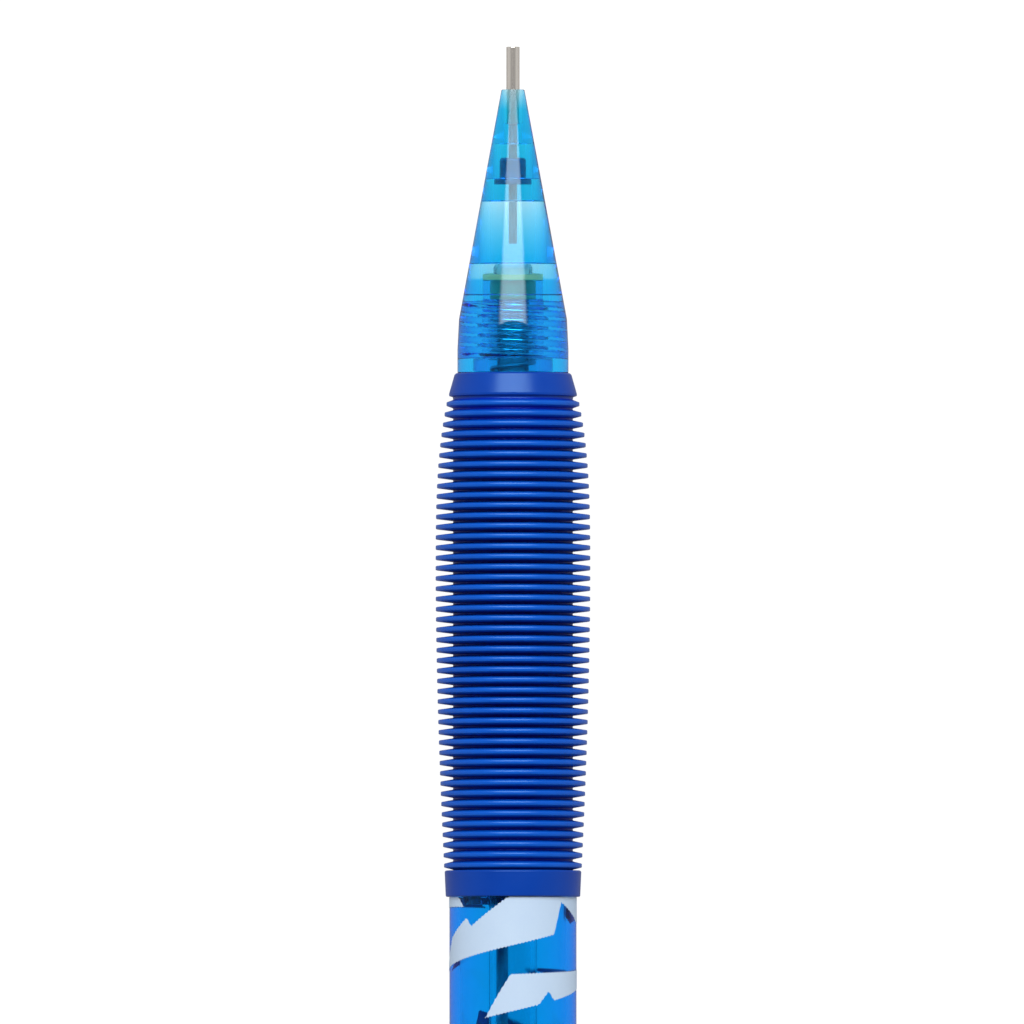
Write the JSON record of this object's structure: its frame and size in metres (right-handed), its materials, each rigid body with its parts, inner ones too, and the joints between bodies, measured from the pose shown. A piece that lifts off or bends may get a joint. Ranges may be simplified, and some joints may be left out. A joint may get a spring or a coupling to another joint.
{
  "type": "mechanical pencil",
  "caption": "Push-button mechanical pencil with a clear blue screw-off tip, ribbed rubber grip, clear blue barrel, sprung metal pocket clip, and an eraser under its cap.",
  "frame": {"origin": "centre of the push cap's flat end face", "axes": "+X along the pencil's axis towards the writing tip, +Z through the pocket clip, +Y completes a right-handed frame; the pencil lies down along X"},
  "size_m": [0.146, 0.0128, 0.0143],
  "materials": {
    "tip_blue": "clear cyan-blue moulded plastic, polished",
    "barrel_blue": "clear blue moulded plastic, polished",
    "housing_blue": "clear deep blue moulded plastic",
    "collar_blue": "opaque deep blue, glossy",
    "grip_rubber": "deep blue soft rubber, satin",
    "retainer_rubber": "near-black soft rubber",
    "sleeve_steel": "drawn stainless tube",
    "spring_steel": "drawn wire",
    "brass": "turned brass",
    "chuck_plastic": "pale grey moulded plastic",
    "natural_plastic": "milky unpigmented plastic",
    "graphite": "dark grey polymer graphite, slight sheen",
    "eraser_white": "matt white",
    "ferrule_aluminium": "drawn aluminium, satin",
    "clip_chrome": "bright plated sprung steel"
  },
  "bodies": {
    "barrel": {"barrel": "barrel_blue", "mechanism_housing": "housing_blue", "grip": "grip_rubber", "clip_collar": "collar_blue", "rear_bush": "natural_plastic", "chuck_spring": "spring_steel"},
    "push_rod": {"lead_tube": "natural_plastic", "tube_connector": "natural_plastic", "chuck_stem": "chuck_plastic", "spare_leads": "graphite"},
    "jaw_top": {"chuck_jaw_top": "chuck_plastic"},
    "jaw_left": {"chuck_jaw_left": "chuck_plastic"},
    "jaw_right": {"chuck_jaw_right": "chuck_plastic"},
    "clutch_ring": {"clutch_ring": "brass"},
    "feed_lead": {"feed_lead": "graphite"},
    "eraser_unit": {"eraser_ferrule": "ferrule_aluminium", "eraser": "eraser_white"},
    "push_cap": {"push_cap": "barrel_blue"},
    "tip_core": {"lead_sleeve": "sleeve_steel", "lead_retainer": "retainer_rubber"},
    "tip_cone": {"tip_cone": "tip_blue"},
    "lead_in_tip": {"lead_in_tip": "graphite"},
    "pocket_clip": {"pocket_clip": "clip_chrome"}
  },
  "joints": [
    {"name": "button_press", "type": "slide", "parent": "barrel", "child": "push_rod", "axis": [1, 0, 0], "range_m": [0, 0.0038], "stiffness_N_per_m": 345, "springref_m": -0.0058, "deforming": ["chuck_spring"]},
    {"name": "jaw_top_open", "type": "hinge", "parent": "push_rod", "child": "jaw_top", "pos_m": [0.118, 0, 0.0009], "axis": [0, -1, 0], "range_deg": [0, 1.3]},
    {"name": "jaw_left_open", "type": "hinge", "parent": "push_rod", "child": "jaw_left", "pos_m": [0.118, 0.00078, -0.00045], "axis": [0, 0.5, 0.866], "range_deg": [0, 1.3]},
    {"name": "jaw_right_open", "type": "hinge", "parent": "push_rod", "child": "jaw_right", "pos_m": [0.118, -0.00078, -0.00045], "axis": [0, 0.5, -0.866], "range_deg": [0, 1.3]},
    {"name": "ring_travel", "type": "slide", "parent": "barrel", "child": "clutch_ring", "axis": [1, 0, 0], "range_m": [0, 0.00095]},
    {"name": "lead_feed", "type": "slide", "parent": "barrel", "child": "feed_lead", "axis": [1, 0, 0], "range_m": [0, 0.00095]},
    {"name": "eraser_pull", "type": "slide", "parent": "push_rod", "child": "eraser_unit", "axis": [-1, 0, 0], "range_m": [0, 0.012]},
    {"name": "cap_pull", "type": "slide", "parent": "eraser_unit", "child": "push_cap", "axis": [-1, 0, 0], "range_m": [0, 0.016]},
    {"name": "tip_travel", "type": "slide", "parent": "barrel", "child": "tip_core", "axis": [1, 0, 0], "range_m": [0, 0.0048]},
    {"name": "tip_turn", "type": "hinge", "parent": "tip_core", "child": "tip_cone", "pos_m": [0.13, 0, 0], "axis": [1, 0, 0], "range_deg": [0, 2160]},
    {"name": "lead_out", "type": "slide", "parent": "tip_core", "child": "lead_in_tip", "axis": [1, 0, 0], "range_m": [0, 0.005]},
    {"name": "clip_flex", "type": "hinge", "parent": "barrel", "child": "pocket_clip", "pos_m": [0.0146, 0, 0.0049], "axis": [0, -1, 0], "range_deg": [0, 4], "stiffness_Nm_per_rad": 0.25, "springref_deg": -2}
  ],
  "couplings": [
    {"joint": "jaw_top_open", "follows": "button_press", "rad_per_m": 5.9703},
    {"joint": "jaw_left_open", "follows": "button_press", "rad_per_m": 5.9703},
    {"joint": "jaw_right_open", "follows": "button_press", "rad_per_m": 5.9703},
    {"joint": "ring_travel", "follows": "button_press", "ratio": 0.25},
    {"joint": "lead_feed", "follows": "button_press", "ratio": 0.25},
    {"joint": "tip_turn", "follows": "tip_travel", "rad_per_m": 7853.9}
  ]
}
